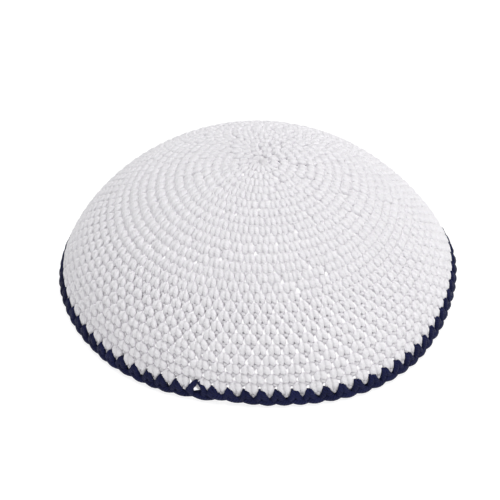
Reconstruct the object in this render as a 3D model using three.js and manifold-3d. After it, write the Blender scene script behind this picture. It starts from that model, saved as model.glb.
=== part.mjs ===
// Domed crocheted kippah: a white crown and one navy edging round.
// Millimetres, +Z up. The origin is the middle of the rim on the surface the cap rests on,
// and -Y is the front.

import * as THREE from 'three';
import Module from 'manifold-3d';
import { mergeVertices } from 'three/addons/utils/BufferGeometryUtils.js';

// Dome
const rimRadius = 85; // mean outer radius at the resting edge
const slopeRise = 1.287; // how the wall turns down along the arc, in radians
const slopeEase = -0.127;
const slopeRimTurn = 0.312;
const fabricThickness = 4;

// Lean of the dome, as shares of the rim radius: the crown sits a little to the front of the rim
const crownShift = [0.015, -0.041];
const middleShift = [0.007, -0.024];
const lowerShift = [-0.019, -0.002];

// Outline of the rim: [waves round the rim, cosine share, sine share]
const rimWaves = [
  [2, 0.0054, -0.0161],
  [3, 0.0076, -0.0087],
  [4, 0.0042, 0.0157],
  [5, -0.0057, 0.0148],
];
const backEvenness = 0.75; // share of the waves that fades out towards the back

// Stitches
const stitchesRound = 84; // teeth of the border, one for each stitch of the last round
const stitchLean = 0.39; // stitches by which the round falls short of a full turn at the join
const joinAngle = -106.3; // degrees, before the stretch
const frontStretch = 0.078; // stitches are this much wider at the stretched side than the mean
const stretchAngle = -95; // degrees
const toothTip = 0.933; // share of the arc from the middle of the crown to the rim
const toothValley = 0.967;
const joinGap = 0.25; // taken off each side of the zigzag seam, along the arc

// Join of the border round, whose first tooth stands tall over an eyelet
const joinToothRise = 1.6;
const eyeletWidth = 2.9;
const eyeletHeight = 2.2;
const eyeletArc = 0.957; // share of the arc at the eyelet's middle
const eyeletSides = 16;
const stepStart = 1; // stitches past the join at which the foot steps up
const stepStitches = 3;
const stepHeight = 0.9;

// Border's section, as shares of the arc: a plain band, then a bead above the flat foot
const bandArc = 0.973;
const beadArc = 0.986;
const beadProud = 0.35;
const footRounding = 0.3;

// Crown's rings from the pole to the last one above the seam: [points, share of the arc]
const crownRings = [
  [1, 0],
  [21, 0.04],
  [42, 0.10],
  [42, 0.17],
  [84, 0.25],
  [84, 0.33],
  [84, 0.41],
  [84, 0.49],
  [84, 0.57],
  [84, 0.65],
  [84, 0.73],
  [84, 0.81],
  [84, 0.87],
  [168, 0.912],
];

// Cloth colours
const whiteYarn = 0xecebee;
const navyYarn = 0x1c2240;

const turn = Math.PI * 2;
const nudge = 0.003; // step for taking slopes

// Radius and height along the arc, by small steps, scaled to the rim radius.
const profileSteps = 800;

function wallSlope(t) {
  return slopeRise * t + slopeEase * t ** 3 + slopeRimTurn * t ** 6;
}

function makeProfile() {
  const radius = [0];
  const drop = [0];
  for (let i = 0; i < profileSteps; i += 1) {
    const slope = wallSlope((i + 0.5) / profileSteps);
    radius.push(radius[i] + Math.cos(slope));
    drop.push(drop[i] + Math.sin(slope));
  }
  const scale = rimRadius / radius[profileSteps];
  return {
    arc: profileSteps * scale,
    radius: radius.map((value) => value * scale),
    height: drop.map((value) => (drop[profileSteps] - value) * scale),
  };
}

const profile = makeProfile();

function along(list, t) {
  const place = Math.min(Math.max(t, 0), 1) * profileSteps;
  const low = Math.min(Math.floor(place), profileSteps - 1);
  return list[low] + (list[low + 1] - list[low]) * (place - low);
}

// Point of the outer surface at a share t of the arc and an angle round the cap.
function outerPoint(t, angle) {
  let wave = 0;
  for (const [count, cosine, sine] of rimWaves) {
    wave += cosine * Math.cos(count * angle) + sine * Math.sin(count * angle);
  }
  const back = THREE.MathUtils.smoothstep(Math.sin(angle), 0.1, 0.8);
  const swell = t * t * wave * (1 - backEvenness * back);
  const radius = along(profile.radius, t) * (1 + swell);
  const top = 1 - t * t;
  const middle = 4 * t * (1 - t);
  const lower = 6.75 * t * t * (1 - t);
  const shift = [0, 1].map((axis) => rimRadius
    * (crownShift[axis] * top + middleShift[axis] * middle + lowerShift[axis] * lower));
  return new THREE.Vector3(
    shift[0] + radius * Math.cos(angle),
    shift[1] + radius * Math.sin(angle),
    along(profile.height, t),
  );
}

function outerNormal(t, angle) {
  if (t < nudge) {
    return new THREE.Vector3(0, 0, 1);
  }
  const down = outerPoint(Math.min(t + nudge, 1), angle).sub(outerPoint(t - nudge, angle));
  const round = outerPoint(t, angle + nudge).sub(outerPoint(t, angle - nudge));
  return down.cross(round).normalize();
}

// Point at a depth under the outer surface.
function wallPoint(t, angle, depth) {
  return outerPoint(t, angle).addScaledVector(outerNormal(t, angle), -depth);
}

// Middle of the rim's outline, which becomes the origin.
function rimMiddle() {
  const box = new THREE.Box3();
  const points = stitchesRound * 2;
  for (let i = 0; i < points; i += 1) {
    box.expandByPoint(wallPoint(beadArc, (i / points) * turn, -beadProud));
  }
  return box.getCenter(new THREE.Vector3()).setZ(0);
}

const middle = rimMiddle();

// Angle of a stitch, counted from the join.
function stitchAngle(stitch) {
  const even = THREE.MathUtils.degToRad(joinAngle) + (stitch * turn) / (stitchesRound + stitchLean);
  return even + frontStretch * Math.sin(even - THREE.MathUtils.degToRad(stretchAngle));
}

// A ring of points spread over the stitches; arcAt gives the share of the arc for each of them.
function ring(count, arcAt, depth) {
  const points = [];
  for (let i = 0; i < count; i += 1) {
    const angle = stitchAngle((i / count) * stitchesRound);
    points.push(wallPoint(arcAt(i), angle, depth).sub(middle));
  }
  return points;
}

// Closes a stack of rings into one skin. A ring of one point is a pole, and neighbouring
// rings have the same count or twice as many. A loop stack also joins its last ring to its first.
function skin(rings, loop) {
  const starts = [];
  const positions = [];
  for (const points of rings) {
    starts.push(positions.length / 3);
    for (const point of points) {
      positions.push(point.x, point.y, point.z);
    }
  }
  const faces = [];
  const pairs = loop ? rings.length : rings.length - 1;
  for (let k = 0; k < pairs; k += 1) {
    const next = (k + 1) % rings.length;
    const a = rings[k].length;
    const b = rings[next].length;
    const atA = (i) => starts[k] + (i % a);
    const atB = (i) => starts[next] + (i % b);
    if (a === 1 || b === 1) {
      for (let i = 0; i < Math.max(a, b); i += 1) {
        faces.push(a === 1 ? [atA(0), atB(i), atB(i + 1)] : [atA(i), atB(0), atA(i + 1)]);
      }
    } else if (a === b) {
      for (let i = 0; i < a; i += 1) {
        faces.push([atA(i), atB(i), atB(i + 1)], [atA(i), atB(i + 1), atA(i + 1)]);
      }
    } else if (b === 2 * a) {
      for (let i = 0; i < a; i += 1) {
        faces.push([atA(i), atB(2 * i), atB(2 * i + 1)]);
        faces.push([atA(i), atB(2 * i + 1), atA(i + 1)]);
        faces.push([atA(i + 1), atB(2 * i + 1), atB(2 * i + 2)]);
      }
    } else {
      for (let i = 0; i < b; i += 1) {
        faces.push([atB(i), atA(2 * i + 1), atA(2 * i)]);
        faces.push([atB(i), atB(i + 1), atA(2 * i + 1)]);
        faces.push([atB(i + 1), atA(2 * i + 2), atA(2 * i + 1)]);
      }
    }
  }
  const geometry = new THREE.BufferGeometry();
  geometry.setAttribute('position', new THREE.Float32BufferAttribute(positions, 3));
  geometry.setIndex(faces.flat());
  return geometry;
}

// Zigzag line between crown and border: even points are the tips of the border's teeth.
function seamArc(i) {
  if (i % 2 === 1) {
    return toothValley;
  }
  return toothTip - (i === 0 ? joinToothRise / profile.arc : 0);
}

const fine = stitchesRound * 2;
const gapShare = joinGap / profile.arc;

// Crown: outer skin from the pole to the seam, then the inner skin back up.
function crownSide(depth) {
  const rings = crownRings.map(([count, t]) => ring(count, () => t, depth));
  rings.push(ring(fine, (i) => seamArc(i) - gapShare, depth));
  return rings;
}

const crownGeometry = skin(
  [...crownSide(0), ...crownSide(fabricThickness).reverse()],
  false,
);

// Height of the foot, which is flat but for the step where the round ends.
function footRise(i) {
  const stitch = i / 2 - stepStart;
  const inStep = stitch >= 0 && stitch < stepStitches;
  return inStep ? stepHeight * (1 - stitch / stepStitches) : 0;
}

function footRing(depth) {
  return ring(fine, () => 1, depth).map((point, i) => point.setZ(footRise(i)));
}

// Border: a loop of rings from the seam down the outside, across the foot and up the inside.
const borderRings = [
  ring(fine, (i) => seamArc(i) + gapShare, 0),
  ring(fine, () => bandArc, 0),
  ring(fine, () => beadArc, -beadProud),
  footRing(footRounding),
  footRing(fabricThickness - footRounding),
  ring(fine, () => beadArc, fabricThickness + beadProud),
  ring(fine, () => bandArc, fabricThickness),
  ring(fine, (i) => seamArc(i) + gapShare, fabricThickness),
];

const borderBlank = skin(borderRings, true);

// Eyelet under the tall tooth: an oval pin through the wall, taken away from the border.
function eyeletPin() {
  const angle = stitchAngle(0);
  const pin = new THREE.CylinderGeometry(0.5, 0.5, 4 * fabricThickness, eyeletSides);
  pin.scale(eyeletWidth, 1, eyeletHeight);
  const outward = outerNormal(eyeletArc, angle);
  const across = new THREE.Vector3(-Math.sin(angle), Math.cos(angle), 0);
  const downWall = new THREE.Vector3().crossVectors(across, outward);
  const place = new THREE.Matrix4().makeBasis(across, outward, downWall);
  place.setPosition(wallPoint(eyeletArc, angle, fabricThickness / 2).sub(middle));
  return pin.applyMatrix4(place);
}

const wasm = await Module();
wasm.setup();

function toSolid(geometry) {
  const bare = geometry.clone();
  bare.deleteAttribute('normal');
  bare.deleteAttribute('uv');
  const merged = mergeVertices(bare, 1e-5);
  return new wasm.Manifold(new wasm.Mesh({
    numProp: 3,
    vertProperties: new Float32Array(merged.attributes.position.array),
    triVerts: new Uint32Array(merged.index.array),
  }));
}

function toGeometry(solid) {
  const mesh = solid.getMesh();
  const geometry = new THREE.BufferGeometry();
  geometry.setAttribute('position', new THREE.BufferAttribute(mesh.vertProperties, 3));
  geometry.setIndex(new THREE.BufferAttribute(mesh.triVerts, 1));
  return geometry;
}

const borderGeometry = toGeometry(toSolid(borderBlank).subtract(toSolid(eyeletPin())));

function clothMesh(name, geometry, color, roughness) {
  geometry.computeVertexNormals();
  const material = new THREE.MeshStandardMaterial({ color, roughness, metalness: 0 });
  const mesh = new THREE.Mesh(geometry, material);
  mesh.name = name;
  return mesh;
}

const kippah = new THREE.Group();
kippah.add(clothMesh('crown', crownGeometry, whiteYarn, 0.9));
kippah.add(clothMesh('border', borderGeometry, navyYarn, 0.85));

export default kippah;
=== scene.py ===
import math

import bpy
import numpy as np
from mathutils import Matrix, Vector


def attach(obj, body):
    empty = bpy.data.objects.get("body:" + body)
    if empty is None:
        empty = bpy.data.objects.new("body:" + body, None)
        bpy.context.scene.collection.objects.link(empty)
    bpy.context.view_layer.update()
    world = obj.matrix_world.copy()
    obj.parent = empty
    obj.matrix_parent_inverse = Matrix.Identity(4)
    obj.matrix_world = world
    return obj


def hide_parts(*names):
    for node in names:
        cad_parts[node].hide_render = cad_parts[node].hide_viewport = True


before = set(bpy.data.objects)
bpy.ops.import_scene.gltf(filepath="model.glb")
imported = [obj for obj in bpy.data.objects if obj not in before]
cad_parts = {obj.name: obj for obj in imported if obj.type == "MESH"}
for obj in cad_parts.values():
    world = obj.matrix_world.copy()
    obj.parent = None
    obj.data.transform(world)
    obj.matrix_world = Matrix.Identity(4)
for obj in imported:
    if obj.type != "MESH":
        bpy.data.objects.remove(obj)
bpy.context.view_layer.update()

rng = np.random.default_rng(18)

# the dome every stitch is laid on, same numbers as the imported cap, in metres
dome = {
    "rimRadius": 0.085,
    "slope": (1.287, -0.127, 0.312),  # how the wall turns down: t, t^3 and t^6
    "crownShift": (0.015, -0.041),
    "middleShift": (0.007, -0.024),
    "lowerShift": (-0.019, -0.002),
    "rimWaves": (  # waves round the rim, cosine share, sine share
        (2, 0.0054, -0.0161),
        (3, 0.0076, -0.0087),
        (4, 0.0042, 0.0157),
        (5, -0.0057, 0.0148),
    ),
    "backEvenness": 0.75,
    "thickness": 0.004,
    "beadArc": 0.986,
    "beadProud": 0.00035,
    "rimSteps": 168,  # points of the rim's outline
}


def makeProfile(steps=800):
    a, b, c = dome["slope"]
    t = (np.arange(steps) + 0.5) / steps
    slope = a * t + b * t**3 + c * t**6
    radius = np.concatenate([[0], np.cumsum(np.cos(slope))])
    drop = np.concatenate([[0], np.cumsum(np.sin(slope))])
    scale = dome["rimRadius"] / radius[-1]
    return np.linspace(0, 1, steps + 1), radius * scale, (drop[-1] - drop) * scale, steps * scale


profileArc, profileRadius, profileHeight, wallLength = makeProfile()


def smoothStep(x, low, high):
    s = np.clip((x - low) / (high - low), 0, 1)
    return s * s * (3 - 2 * s)


# a point of the outer surface; past the rim the wall runs on straight down
def outerPoint(t, angle):
    inside = np.clip(t, 0, 1)
    wave = sum(c * np.cos(n * angle) + s * np.sin(n * angle) for n, c, s in dome["rimWaves"])
    wave = wave * (1 - dome["backEvenness"] * smoothStep(np.sin(angle), 0.1, 0.8))
    radius = np.interp(inside, profileArc, profileRadius) * (1 + inside**2 * wave)
    height = np.interp(inside, profileArc, profileHeight) - np.maximum(t - 1, 0) * wallLength
    top = 1 - inside**2
    middle = 4 * inside * (1 - inside)
    lower = 6.75 * inside**2 * (1 - inside)
    shift = [
        dome["rimRadius"] * (c * top + m * middle + w * lower)
        for c, m, w in zip(dome["crownShift"], dome["middleShift"], dome["lowerShift"])
    ]
    return np.stack([shift[0] + radius * np.cos(angle), shift[1] + radius * np.sin(angle), height], -1)


def outerNormal(t, angle, nudge=0.003):
    t = np.clip(t, nudge, 1 - nudge)
    down = outerPoint(t + nudge, angle) - outerPoint(t - nudge, angle)
    around = outerPoint(t, angle + nudge) - outerPoint(t, angle - nudge)
    normal = np.cross(down, around)
    return normal / np.linalg.norm(normal, axis=-1, keepdims=True)


# the middle of the rim's outline is the origin
def findRimMiddle():
    angle = np.linspace(0, 2 * np.pi, dome["rimSteps"] + 1)[:-1]
    t = np.full_like(angle, dome["beadArc"])
    rim = outerPoint(t, angle) + outerNormal(t, angle) * dome["beadProud"]
    middle = (rim.min(0) + rim.max(0)) / 2
    return np.array([middle[0], middle[1], 0])


rimMiddle = findRimMiddle()


def onCloth(t, angle, depth):
    return outerPoint(t, angle) - rimMiddle - outerNormal(t, angle) * np.asarray(depth)[..., None]


# one spiral of rounds from the middle of the crown out to the border
rounds = {
    "borderArc": 0.934,  # share of the arc where the navy stitches go in
    "pitch": 0.0368,  # share of the arc from round to round
    "crownFineness": 0.12,  # how much closer the rounds lie round the middle
    "fineArc": (0.05, 0.4),
    "increase": 5.2,  # stitches added in each round
    "headStart": 0.6,  # rounds' worth of stitches already there at the middle
    "fewest": 4.5,  # stitches in a turn at the very middle
    "fullRound": 84,  # stitches in a full round, and in the navy one
    "startPlace": -0.35,  # below nought the first stitches cross over the middle
    "settle": 0.3,  # how closely stitches settle over the gaps of the round before
    "settleFrom": 2,  # rounds from the middle
    "lean": 0.39,  # how far a stitch sits back from the one it is worked into, in stitches
    "joinAngle": math.radians(-106.3),
    "frontStretch": 0.078,  # stitches are wider at the front by this share
    "stretchAngle": math.radians(-95),
    "stretchArc": (0.2, 0.8),
    "levelRounds": 9,  # the spiral evens out into level rounds over the last few
    "jog": 0.004,  # share of a turn over which a level round climbs to the next
}


# rounds counted from the middle against the share of the arc
def makePlaces(steps=300):
    arc = np.linspace(0, rounds["borderArc"], steps)
    pitch = rounds["pitch"] * (1 - rounds["crownFineness"] * (1 - smoothStep(arc, *rounds["fineArc"])))
    place = np.concatenate([[0], np.cumsum(np.diff(arc) / pitch[:-1])])
    return place, arc


placeSteps, arcSteps = makePlaces()
lastPlace = placeSteps[-1] - 0.5


# share of the arc for a place along the spiral, level towards the border
def arcAt(place, angle):
    turned = ((angle - rounds["joinAngle"]) / (2 * np.pi)) % 1.0
    climb = turned * (1 - smoothStep(turned, 1 - rounds["jog"], 1.0))
    level = smoothStep(place, lastPlace - rounds["levelRounds"], lastPlace - 1)
    place = place - level * (climb - 0.5)
    return np.interp(place, placeSteps, arcSteps) + np.minimum(place, 0) * rounds["pitch"]


# the stretch of the front fades out towards the crown
def stretched(angle, arc):
    share = rounds["frontStretch"] * smoothStep(arc, *rounds["stretchArc"])
    return angle + share * np.sin(angle - rounds["stretchAngle"])


# angle, place and width of each white stitch, from the middle of the crown outwards
def placeStitches():
    angles = [rounds["joinAngle"]]
    places = [lastPlace]
    widths = []
    while places[-1] > rounds["startPlace"]:
        count = rounds["increase"] * (places[-1] + rounds["headStart"])
        count = min(max(count, rounds["fewest"]), rounds["fullRound"])
        widths.append(2 * math.pi / (count + rounds["lean"]))
        angles.append(angles[-1] - widths[-1])
        places.append(places[-1] - widths[-1] / (2 * math.pi))
    angles = np.array(angles[:-1])
    places = np.array(places[:-1])
    for i in np.flatnonzero((angles < angles[0] - 2 * math.pi) & (places > rounds["settleFrom"])):
        above = np.argmin(np.abs(angles[:i] - angles[i] - 2 * math.pi))
        phase = (angles[i] + 2 * math.pi - angles[above]) / widths[i] - rounds["lean"]
        angles[i] -= rounds["settle"] * (phase - round(phase)) * widths[i]
    spacing = -np.gradient(angles)
    return angles[:0:-1], places[:0:-1], spacing[:0:-1]


# one white stitch as the yarn runs: place along the round in stitches and towards the next round in
# rounds, depth from the outer face at 0 to the inner at 1, and thickness as a share of the yarn's
whiteStitch = np.array([
    (-0.78, 1.42, 0.85, 0.55),  # from the last stitch's chain, down the inside
    (-0.80, 0.96, 1.00, 0.58),
    (-0.52, 0.44, 1.00, 0.62),
    (-0.10, 0.20, 0.58, 0.50),  # out through the hole
    (-0.07, 0.20, 0.04, 0.74),
    (-0.14, 0.42, -0.06, 1.06),  # left leg
    (-0.18, 0.68, 0.05, 1.06),
    (-0.16, 0.98, 0.32, 0.72),
    (0.05, 1.14, 0.74, 0.55),  # behind the chain
    (0.29, 1.04, 0.40, 0.64),
    (0.25, 0.75, 0.09, 0.94),  # right leg
    (0.15, 0.46, -0.04, 1.04),
    (0.07, 0.20, 0.04, 0.74),
    (0.05, 0.20, 0.58, 0.50),  # back in through the hole
    (0.08, 0.44, 0.95, 0.62),
    (0.12, 0.80, 1.00, 0.62),
    (0.06, 1.12, 0.78, 0.55),
    (0.00, 1.22, 0.36, 0.55),  # chain, outer strand
    (0.08, 1.12, 0.16, 0.70),
    (0.20, 1.28, 0.36, 0.58),
    (0.58, 1.46, 0.56, 0.46),
    (0.90, 1.34, 0.56, 0.55),
    (1.10, 1.30, 0.74, 0.58),  # chain, inner strand
    (0.88, 1.44, 1.00, 0.56),
    (0.58, 1.60, 1.00, 0.50),
])


stitchShape = (1.4, 1.0, 0.35)  # a stitch's width, height and depth, which share out the samples


# Catmull-Rom weights that turn one stitch's control points, with one before and two after, into samples
def sampleWeights(control, samplesPerStitch):
    closed = np.vstack([control, control[:1] + (1, 0, 0, 0)])
    step = np.diff(closed[:, :3] * stitchShape, axis=0)
    along = np.concatenate([[0], np.cumsum(np.linalg.norm(step, axis=1))])
    share = np.arange(samplesPerStitch) / samplesPerStitch
    where = np.interp(share * along[-1], along, np.arange(len(along)))
    weights = np.zeros((samplesPerStitch, len(control) + 3))
    for row, x in enumerate(where):
        k = min(int(x), len(control) - 1)
        f = x - k
        weights[row, k] = -0.5 * f + f**2 - 0.5 * f**3
        weights[row, k + 1] = 1 - 2.5 * f**2 + 1.5 * f**3
        weights[row, k + 2] = 0.5 * f + 2 * f**2 - 1.5 * f**3
        weights[row, k + 3] = -0.5 * f**2 + 0.5 * f**3
    return weights


# control (stitches, points, values) to samples (stitches, samples, values); open yarn ends repeat themselves
def sampleYarn(control, weights):
    before = np.concatenate([control[:1, :1], control[:-1, -1:]])
    after = np.concatenate([control[1:, :2], np.repeat(control[-1:, -1:], 2, axis=1)])
    padded = np.concatenate([before, control, after], axis=1)
    return np.einsum("mk,skv->smv", weights, padded)


def unit(v):
    return v / np.maximum(np.linalg.norm(v, axis=-1, keepdims=True), 1e-12)


# one side direction for each ring of the yarn, turning as little as it can inside each stitch
def sideDirections(centre):
    stitches, samples = centre.shape[:2]
    flat = centre.reshape(-1, 3)
    tangent = unit(np.gradient(flat, axis=0)).reshape(stitches, samples, 3)
    nextTangent = np.concatenate([tangent[1:, :1], tangent[-1:, -1:]])
    nextCentre = np.concatenate([centre[1:, :1], centre[-1:, -1:] + tangent[-1:, -1:] * 1e-4])
    tangents = np.concatenate([tangent, nextTangent], axis=1)
    centres = np.concatenate([centre, nextCentre], axis=1)
    start = unit(np.cross(tangents[:, 0], unit(centres[:, 0] * (1, 1, 0.6))))
    side = [start]
    for k in range(samples):
        v1 = centres[:, k + 1] - centres[:, k]
        c1 = np.maximum((v1 * v1).sum(-1, keepdims=True), 1e-18)
        mirrored = side[-1] - v1 * (2 * (v1 * side[-1]).sum(-1, keepdims=True) / c1)
        turned = tangents[:, k] - v1 * (2 * (v1 * tangents[:, k]).sum(-1, keepdims=True) / c1)
        v2 = tangents[:, k + 1] - turned
        c2 = np.maximum((v2 * v2).sum(-1, keepdims=True), 1e-18)
        side.append(unit(mirrored - v2 * (2 * (v2 * mirrored).sum(-1, keepdims=True) / c2)))
    side = np.stack(side, axis=1)
    target = np.concatenate([start[1:], side[-1:, -1]])
    other = np.cross(tangents[:, -1], side[:, -1])
    twist = np.arctan2((target * other).sum(-1), (target * side[:, -1]).sum(-1))
    angle = twist[:, None] * (np.arange(samples) / samples)[None, :]
    side = side[:, :-1]
    other = np.cross(tangent, side)
    return unit(side * np.cos(angle)[..., None] + other * np.sin(angle)[..., None]), tangent


bakeMap = {
    "columns": 8,
    "marginAlong": 0.03,  # empty edge of a strip, as a share of it
    "marginAround": 0.04,
    "capRadius": 0.3,  # the yarn's two ends lie in the last line, in line heights
}


# a map with a strip of its own for every stitch, laid out in columns
def addBakeMap(mesh, stitches, samples, sides):
    columns = bakeMap["columns"]
    lines = -(-stitches // columns) + 1
    length = 1 - 2 * bakeMap["marginAlong"]
    height = 1 - 2 * bakeMap["marginAround"]
    ring = np.arange(stitches * samples - 1)
    stitch = ring // samples
    left = (stitch % columns + bakeMap["marginAlong"] + length * (ring % samples) / samples) / columns
    right = left + length / samples / columns
    side = np.arange(sides)
    low = (stitch[:, None] // columns + bakeMap["marginAround"] + height * side / sides) / lines
    high = low + height / sides / lines
    left = np.broadcast_to(left[:, None], low.shape)
    right = np.broadcast_to(right[:, None], low.shape)
    outline = ((left, low), (left, high), (right, high), (right, low))
    corners = np.stack([np.stack(corner, -1) for corner in outline], 2)
    turn = np.arange(sides) / sides * 2 * np.pi
    cap = np.stack([np.cos(turn), np.sin(turn)], -1) * bakeMap["capRadius"] / lines
    lastLine = 1 - 0.5 / lines
    caps = np.concatenate([cap[::-1] + (0.25, lastLine), cap + (0.75, lastLine)])
    layer = mesh.uv_layers.new(name="OFBake")
    layer.data.foreach_set("uv", np.concatenate([corners.reshape(-1, 2), caps]).ravel().astype(np.float32))


# a tube mesh along the samples, pressed a little flat, with the yarn's run and turn as a UV map
def makeYarn(name, samples, shade, sides, flatness, material):
    centre = samples[..., :3]
    radius = samples[..., 3]
    outward = unit(samples[..., 4:7])
    side, tangent = sideDirections(centre)
    other = np.cross(tangent, side)
    stitches, ringsEach = centre.shape[:2]
    rings = stitches * ringsEach
    turn = np.arange(sides) / sides * 2 * np.pi
    ring = side.reshape(rings, 1, 3) * np.cos(turn)[None, :, None]
    ring = ring + other.reshape(rings, 1, 3) * np.sin(turn)[None, :, None]
    outward = outward.reshape(rings, 1, 3)
    ring = ring - outward * (ring * outward).sum(-1, keepdims=True) * (1 - flatness)
    points = centre.reshape(rings, 1, 3) + ring * radius.reshape(rings, 1, 1)
    index = np.arange(rings * sides).reshape(rings, sides)
    here = index[:-1]
    ahead = index[1:]
    quads = np.stack([here, np.roll(here, -1, 1), np.roll(ahead, -1, 1), ahead], -1).reshape(-1, 4)
    loops = np.concatenate([quads.ravel(), index[0][::-1], index[-1]])
    starts = np.concatenate([np.arange(len(quads)) * 4, [len(quads) * 4, len(quads) * 4 + sides]])
    mesh = bpy.data.meshes.new(name)
    mesh.vertices.add(rings * sides)
    mesh.vertices.foreach_set("co", points.ravel().astype(np.float32))
    mesh.loops.add(len(loops))
    mesh.loops.foreach_set("vertex_index", loops.astype(np.int32))
    mesh.polygons.add(len(starts))
    mesh.polygons.foreach_set("loop_start", starts.astype(np.int32))
    mesh.update(calc_edges=True)
    mesh.polygons.foreach_set("use_smooth", np.ones(len(starts), dtype=bool))

    flat = centre.reshape(rings, 3)
    run = np.concatenate([[0], np.cumsum(np.linalg.norm(np.diff(flat, axis=0), axis=1))])
    around = np.tile(np.arange(sides) / sides, (rings - 1, 1))
    nextAround = around + 1 / sides
    near = np.repeat(run[:-1, None], sides, 1)
    far = np.repeat(run[1:, None], sides, 1)
    outline = ((around, near), (nextAround, near), (nextAround, far), (around, far))
    uv = np.stack([np.stack(corner, -1) for corner in outline], 2)
    ends = np.zeros((2 * sides, 2))
    layer = mesh.uv_layers.new(name="yarnRun")
    layer.data.foreach_set("uv", np.concatenate([uv.reshape(-1, 2), ends]).ravel().astype(np.float32))
    addBakeMap(mesh, stitches, ringsEach, sides)
    tone = mesh.attributes.new("stitchShade", "FLOAT", "POINT")
    tone.data.foreach_set("value", np.repeat(shade, ringsEach * sides).astype(np.float32))
    mesh.materials.append(material)
    piece = bpy.data.objects.new(name, mesh)
    bpy.context.scene.collection.objects.link(piece)
    return piece


# what both cottons share
cotton = {
    "softDepth": 0.002,  # how far light goes in between the fibres
    "fibreDetail": 3,
    "relief": 0.6,
    "cloudScale": 60,
    "stitchTone": 0.5,  # shares of the tone: each stitch's own, patches and the twist, whose ridges are painted lighter and grooves darker as painted shade between the plies
    "cloudTone": 0.3,
    "plyShadeTone": 0.3,
    "toneRange": (0.15, 0.85),
}
whiteCotton = {
    "light": (0.965, 0.945, 0.975),
    "dark": (0.92, 0.90, 0.935),
    "roughness": 0.85,
    "sheen": 0.25,
    "shine": 0.25,
    "plyLength": 0.0042,  # run of yarn in which a ply goes once round
    "plies": 4,
    "plyDepth": 0.00012,
    "fuzz": 0.35,
    "fibreScale": 2600,
    "fibreHighlight": 0.0,  # how far the raised fibres of the bump are painted lighter: painted highlight on the fibres
    "softness": 0.35,  # how much light passes through the fibres
}
navyCotton = {
    "light": (0.014, 0.018, 0.080),
    "dark": (0.001, 0.0015, 0.007),
    "roughness": 0.65,
    "sheen": 0.02,
    "shine": 0.12,
    "plyLength": 0.0042,
    "plies": 4,
    "plyDepth": 0.0003,
    "fuzz": 0.4,
    "fibreScale": 1500,
    # painted highlight on the raised fibres of the navy yarn
    "fibreHighlight": 0.6,
    "softness": 0.0,
}


def makeCotton(name, look):
    material = bpy.data.materials.new(name)
    material.use_nodes = True
    nodes = material.node_tree.nodes
    link = material.node_tree.links.new
    shader = nodes["Principled BSDF"]
    shader.inputs["Roughness"].default_value = look["roughness"]
    shader.inputs["Sheen Weight"].default_value = look["sheen"]
    shader.inputs["Specular IOR Level"].default_value = look["shine"]
    shader.inputs["Subsurface Weight"].default_value = look["softness"]
    shader.inputs["Subsurface Radius"].default_value = (1, 1, 1)
    shader.inputs["Subsurface Scale"].default_value = cotton["softDepth"]

    run = nodes.new("ShaderNodeUVMap")
    run.uv_map = "yarnRun"
    split = nodes.new("ShaderNodeSeparateXYZ")
    link(run.outputs["UV"], split.inputs[0])

    def maths(kind, a, b):
        node = nodes.new("ShaderNodeMath")
        node.operation = kind
        for socket, value in zip(node.inputs, (a, b)):
            if isinstance(value, (int, float)):
                socket.default_value = value
            elif value is not None:
                link(value, socket)
        return node.outputs[0]

    turn = maths("MULTIPLY", split.outputs["X"], look["plies"])
    along = maths("MULTIPLY", split.outputs["Y"], look["plies"] / look["plyLength"])
    ply = maths("ABSOLUTE", maths("SINE", maths("MULTIPLY", maths("ADD", turn, along), math.pi), None), None)

    place = nodes.new("ShaderNodeTexCoord")
    fibre = nodes.new("ShaderNodeTexNoise")
    fibre.inputs["Scale"].default_value = look["fibreScale"]
    fibre.inputs["Detail"].default_value = cotton["fibreDetail"]
    link(place.outputs["Object"], fibre.inputs["Vector"])
    height = maths("ADD", ply, maths("MULTIPLY", fibre.outputs["Fac"], look["fuzz"]))

    bump = nodes.new("ShaderNodeBump")
    bump.inputs["Strength"].default_value = cotton["relief"]
    bump.inputs["Distance"].default_value = look["plyDepth"]
    link(height, bump.inputs["Height"])
    link(bump.outputs["Normal"], shader.inputs["Normal"])

    shade = nodes.new("ShaderNodeAttribute")
    shade.attribute_name = "stitchShade"
    cloud = nodes.new("ShaderNodeTexNoise")
    cloud.inputs["Scale"].default_value = cotton["cloudScale"]
    link(place.outputs["Object"], cloud.inputs["Vector"])
    stitched = maths("MULTIPLY", shade.outputs["Fac"], cotton["stitchTone"])
    clouded = maths("MULTIPLY", cloud.outputs["Fac"], cotton["cloudTone"] - look["fibreHighlight"])
    # painted highlight: the fibre noise that raises the fibres in the bump also lightens them, taking its
    # share from the patches
    paintedFibreHighlight = maths("MULTIPLY", fibre.outputs["Fac"], look["fibreHighlight"])
    # painted shade: the ply wave of the bump also darkens the grooves between the plies and lightens their
    # ridges
    paintedPlyShade = maths("MULTIPLY", ply, cotton["plyShadeTone"])
    tone = maths("ADD", maths("ADD", stitched, maths("ADD", clouded, paintedFibreHighlight)), paintedPlyShade)
    ramp = nodes.new("ShaderNodeValToRGB")
    stops = zip(ramp.color_ramp.elements, cotton["toneRange"], (look["dark"], look["light"]))
    for stop, position, colour in stops:
        stop.position = position
        stop.color = (*colour, 1)
    link(tone, ramp.inputs["Fac"])
    link(ramp.outputs["Color"], shader.inputs["Base Color"])
    return material


white = makeCotton("whiteCottonYarn", whiteCotton)
navy = makeCotton("navyCottonYarn", navyCotton)


handover = 0.62  # share of a stitch after which its unevenness turns into the next one's


# each stitch's own unevenness for along, across and thickness
def makeUnevenness(stitches, points, spread):
    blend = smoothStep(np.arange(points), points * handover, points)[None, :, None]
    wobble = rng.normal(0, spread, (stitches + 1, 1, 3))
    return wobble[:-1] * (1 - blend) + wobble[1:] * blend


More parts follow.
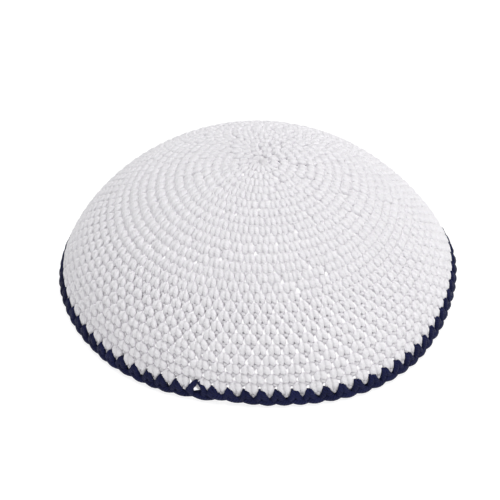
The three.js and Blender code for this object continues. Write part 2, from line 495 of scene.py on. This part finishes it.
crown = {
    "samples": 32,  # rings of yarn in a stitch
    "sides": 9,
    "bands": 5,  # pieces the spiral is cut into
    "yarn": 0.262,  # yarn radius as a share of the stitch's width
    "crownYarn": 0.055,  # how much thicker that share is round the middle
    "yarnRange": (0.00095, 0.00175),
    "closeArc": (0.45, 0.65),  # the holes between stitches open up over this stretch of the arc
    "closeness": 0.5,  # how far the strands behind come forward where the holes are closed
    "flatness": 0.8,
    "bulge": 0.0001,  # how far the legs swell out of the wall
    "unevenness": 0.025,
    "unevenAlong": 0.8,  # shares of that along the round and in the yarn's thickness
    "unevenYarn": 0.5,
    "shadeSpread": 0.22,
    "gather": 0.25,  # how far the first stitches are pulled over the middle
    "gatherPlaces": (0.3, 1.8),
    "point": 0.4,  # how far the last round's stitches reach down between the navy teeth
    "pointBulge": 0.1,
    "pointLegs": (0.05, 0.4),  # middle and half the width of the legs that do
    "pointHeights": (0.5, 1.05),
    "pointMiddle": 0.1,
    "pointNarrowing": 0.3,
    "slipped": (  # stitches pulled aside: angle, share of the arc, shift in stitches
        (math.radians(-141.7), 0.46, 0.16),
        (math.radians(-109.9), 0.392, -0.2),
    ),
    "slipHeight": 0.3,  # where on a stitch its arc is taken, in rounds
    "slipReach": 0.03,
}


# control points in metres for stitches given by angle, place and width
def layWhite(angles, places, widths):
    u, v, depth, size = whiteStitch.T
    outerHalf = depth < 0.5
    wobble = makeUnevenness(len(angles), len(u), crown["unevenness"])
    along = u[None, :] + wobble[..., 0] * crown["unevenAlong"]
    across = v[None, :] + wobble[..., 1]
    for slipAngle, slipArc, shift in crown["slipped"]:
        far = np.abs(np.exp(1j * angles) - np.exp(1j * slipAngle)) * slipArc
        far = far + np.abs(arcAt(places, angles) + crown["slipHeight"] * rounds["pitch"] - slipArc)
        if far.min() < crown["slipReach"]:
            along[far.argmin()] += shift * outerHalf
    across = across - crown["gather"] * (1 - smoothStep(places, *crown["gatherPlaces"]))[:, None]
    legMiddle, legHalf = crown["pointLegs"]
    legs = (places > lastPlace - 1)[:, None] & outerHalf & (np.abs(u - legMiddle) < legHalf)
    pull = legs * smoothStep(v, *crown["pointHeights"])
    across = across + crown["point"] * pull
    along = along + (crown["pointMiddle"] - along) * crown["pointNarrowing"] * pull
    angle = angles[:, None] + along * widths[:, None]
    place = places[:, None] + along * widths[:, None] / (2 * np.pi)
    low = arcAt(place, angle)
    high = arcAt(place + 1, angle)
    arc = low + (high - low) * across
    mid = np.interp((low[:, 0] + high[:, 0]) / 2, profileArc, profileRadius)
    share = crown["yarn"] + crown["crownYarn"] * (1 - smoothStep(low[:, 0], *crown["closeArc"]))
    yarn = np.clip(mid * widths * share, *crown["yarnRange"])
    fat = yarn[:, None] * size[None, :] * (1 + wobble[..., 2] * crown["unevenYarn"])
    half = yarn[:, None] * crown["flatness"]
    close = 1 - smoothStep(low, *crown["closeArc"])
    depths = depth[None, :] * (1 - crown["closeness"] * close) - crown["pointBulge"] * pull
    inset = half - crown["bulge"] + depths * (dome["thickness"] + crown["bulge"] - 2 * half)
    angle = np.where(arc < 0, angle + np.pi, stretched(angle, arc))
    arc = np.abs(arc)
    return np.concatenate([onCloth(arc, angle, inset), fat[..., None], outerNormal(arc, angle)], axis=-1)


print("crown")
angles, places, widths = placeStitches()
control = layWhite(angles, places, widths)
samples = sampleYarn(control, sampleWeights(whiteStitch, crown["samples"]))
shades = np.clip(0.5 + rng.normal(0, crown["shadeSpread"], len(angles)), 0, 1)
cuts = np.linspace(0, len(angles), crown["bands"] + 1).astype(int)
for number, (first, last) in enumerate(zip(cuts[:-1], cuts[1:]), start=1):
    name = f"whiteRounds{number}"
    piece = makeYarn(name, samples[first:last], shades[first:last], crown["sides"], crown["flatness"], white)
    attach(piece, "root")
    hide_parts("crown")
print(len(angles), "white stitches")


border = {
    "samples": 36,  # rings of yarn in a stitch
    "sides": 10,
    "rise": 0.0405,  # share of the arc that a stitch's legs take
    "yarn": 0.0013,
    "lowest": 0.981,  # share of the arc, keeps the chain off the table
    "flatness": 0.85,
    "bulge": 0.0004,
    "joinRise": 0.5,  # the join's tall tooth, as a share of a stitch's height
    "joinHeights": (0.1, 0.6),
    "joinDepth": 0.5,  # how far the yarn there goes in
    "eyelet": 0.42,  # half the width of the hole, in stitches
    "eyeletHeights": (0.2, 0.9),
    "joinStart": ((-0.66, 1.12, 0.40), (-0.58, 0.62, 0.00), (-0.46, 0.42, 0.05)),  # a small tooth
    "step": 0.32,  # the edge steps up past the join, as a share of a stitch's height
    "stepStitches": 3,
    "stepHeights": (0.7, 1.1),
    "unevenness": 0.035,
    "shadeSpread": 0.08,
}


# one navy stitch, set out as the white one is, with its chain along the rim
navyStitch = np.array([
    (-0.78, 1.16, 0.85, 0.90),  # from the last stitch's chain, up the inside
    (-0.56, 0.72, 0.98, 0.95),
    (-0.26, 0.34, 0.92, 0.90),
    (-0.08, 0.04, 0.40, 0.60),  # out through the white round
    (-0.09, 0.00, -0.16, 0.78),
    (-0.10, 0.36, -0.20, 0.98),  # left leg
    (-0.22, 0.72, -0.16, 1.06),
    (-0.32, 0.98, 0.12, 0.98),
    (0.02, 1.06, 0.55, 0.85),  # behind the chain
    (0.34, 1.00, 0.16, 0.98),
    (0.24, 0.76, -0.12, 1.06),  # right leg
    (0.12, 0.38, -0.20, 0.98),
    (0.11, 0.00, -0.16, 0.78),
    (0.10, 0.04, 0.40, 0.60),  # back in
    (0.08, 0.40, 0.92, 0.90),
    (0.06, 0.70, 0.97, 0.95),
    (-0.10, 0.94, 0.60, 0.90),
    (-0.26, 1.00, 0.10, 0.92),
    (0.06, 1.06, -0.20, 1.10),  # chain, outer strand
    (0.42, 1.17, -0.22, 1.12),
    (0.78, 1.25, 0.06, 1.00),
    (1.06, 1.22, 0.50, 0.90),
    (1.12, 1.12, 0.80, 0.90),  # chain, inner strand
    (0.84, 1.18, 1.00, 1.00),
    (0.50, 1.22, 1.00, 1.00),
])


# the first navy stitch stands tall and its yarn runs round an eyelet
def openJoin(along, across, depth):
    u, v = navyStitch.T[:2]
    top = 1 - smoothStep(v, *border["joinHeights"])
    across = across - border["joinRise"] * top
    depths = np.tile(depth, (rounds["fullRound"], 1))
    aside = np.where(u < 0, -1.0, 1.0) * border["eyelet"]
    holeLow, holeHigh = border["eyeletHeights"]
    along = np.where((v > holeLow) & (v < holeHigh), aside, along)
    start = np.array(border["joinStart"])
    depths[0] *= border["joinDepth"]
    depths[-1, v > holeHigh] *= border["joinDepth"]
    along[:3], across[:3], depths[0, :3] = start.T
    return along, across, depths


def layNavy():
    u, v, depth, size = navyStitch.T
    count = rounds["fullRound"]
    width = 2 * np.pi / (count + rounds["lean"])
    angles = rounds["joinAngle"] + np.arange(count) * width
    wobble = makeUnevenness(count, len(u), border["unevenness"])
    along = u[None, :] + wobble[..., 0]
    across = v[None, :] + wobble[..., 1]
    along[0], across[0], depth = openJoin(along[0], across[0], depth)
    step = np.clip((border["stepStitches"] + 1 - np.arange(count)) / border["stepStitches"], 0, 1)
    step[0] = 0
    across = across - step[:, None] * border["step"] * smoothStep(v, *border["stepHeights"])
    angle = angles[:, None] + along * width
    arc = np.minimum(rounds["borderArc"] + border["rise"] * across, border["lowest"])
    half = border["yarn"] * border["flatness"]
    inset = half - border["bulge"] + depth * (dome["thickness"] + border["bulge"] - 2 * half)
    fat = border["yarn"] * size[None, :] * (1 + wobble[..., 2])
    angle = stretched(angle, arc)
    points = onCloth(arc, angle, inset)
    return np.concatenate([points, fat[..., None], outerNormal(arc, angle)], axis=-1)


print("border")
control = layNavy()
samples = sampleYarn(control, sampleWeights(navyStitch, border["samples"]))
shades = np.clip(0.5 + rng.normal(0, border["shadeSpread"], len(samples)), 0, 1)
piece = makeYarn("navyRound", samples, shades, border["sides"], border["flatness"], navy)
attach(piece, "root")
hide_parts("border")


room = {
    "floor": 6.0,
    "floorTone": (0.3, 0.3, 0.3),
    "floorRoughness": 0.9,
    "floorShine": 0.1,
    "floorGlow": 0.85,
    "sky": 0.3,
    "skyColour": (0.97, 0.975, 1.0),
    "aim": (0, 0, 0.03),
    "lamps": (  # name, place, size, power, colour
        ("topLight", (0.15, -0.03, 1.5), 1.4, 14.3, (1, 1, 1)),
        ("keyLight", (0.7, -0.5, 1.1), 0.7, 3.4, (1, 0.995, 0.985)),
    ),
}


def makeFloor():
    half = room["floor"] / 2
    mesh = bpy.data.meshes.new("floor")
    corners = [(-half, -half, 0), (half, -half, 0), (half, half, 0), (-half, half, 0)]
    mesh.from_pydata(corners, [], [(0, 1, 2, 3)])
    floor = bpy.data.objects.new("floor", mesh)
    bpy.context.scene.collection.objects.link(floor)
    material = bpy.data.materials.new("paleTable")
    material.use_nodes = True
    shader = material.node_tree.nodes["Principled BSDF"]
    shader.inputs["Base Color"].default_value = (*room["floorTone"], 1)
    shader.inputs["Roughness"].default_value = room["floorRoughness"]
    shader.inputs["Specular IOR Level"].default_value = room["floorShine"]
    shader.inputs["Emission Color"].default_value = (1, 1, 1, 1)
    shader.inputs["Emission Strength"].default_value = room["floorGlow"]
    mesh.materials.append(material)


def areaLight(name, place, size, power, colour):
    data = bpy.data.lights.new(name, "AREA")
    data.shape = "DISK"
    data.size = size
    data.energy = power
    data.color = colour
    lamp = bpy.data.objects.new(name, data)
    lamp.location = place
    lamp.rotation_euler = (Vector(room["aim"]) - Vector(place)).to_track_quat("-Z", "Y").to_euler()
    bpy.context.scene.collection.objects.link(lamp)


def lightRoom():
    world = bpy.data.worlds.new("softRoom")
    world.use_nodes = True
    sky = world.node_tree.nodes["Background"]
    sky.inputs["Color"].default_value = (*room["skyColour"], 1)
    sky.inputs["Strength"].default_value = room["sky"]
    bpy.context.scene.world = world
    for lamp in room["lamps"]:
        areaLight(*lamp)
    bpy.context.scene.view_settings.view_transform = "Standard"


view = {
    "elevation": math.radians(39.96),
    "distance": 11.0,  # in rim radii
    "radiusShare": 0.39,  # the rim radius as a share of the view's width
    "offset": (0.0161, -0.0506),  # the rim's middle from the view's middle, in view widths
    "sensor": 36,
}


def placeCamera():
    back = Vector((0, -math.cos(view["elevation"]), math.sin(view["elevation"])))
    right = Vector((1, 0, 0))
    up = back.cross(right)
    radius = dome["rimRadius"]
    middle = Vector(-rimMiddle)
    perWidth = radius / view["radiusShare"]
    aim = middle - right * view["offset"][0] * perWidth - up * view["offset"][1] * perWidth
    data = bpy.data.cameras.new("camera")
    data.sensor_width = view["sensor"]
    data.lens = view["sensor"] * view["distance"] * view["radiusShare"]
    camera = bpy.data.objects.new("camera", data)
    camera.location = middle + back * view["distance"] * radius
    camera.rotation_euler = (aim - camera.location).to_track_quat("-Z", "Y").to_euler()
    bpy.context.scene.collection.objects.link(camera)
    bpy.context.scene.camera = camera


print("floor, light and camera")
makeFloor()
lightRoom()
placeCamera()
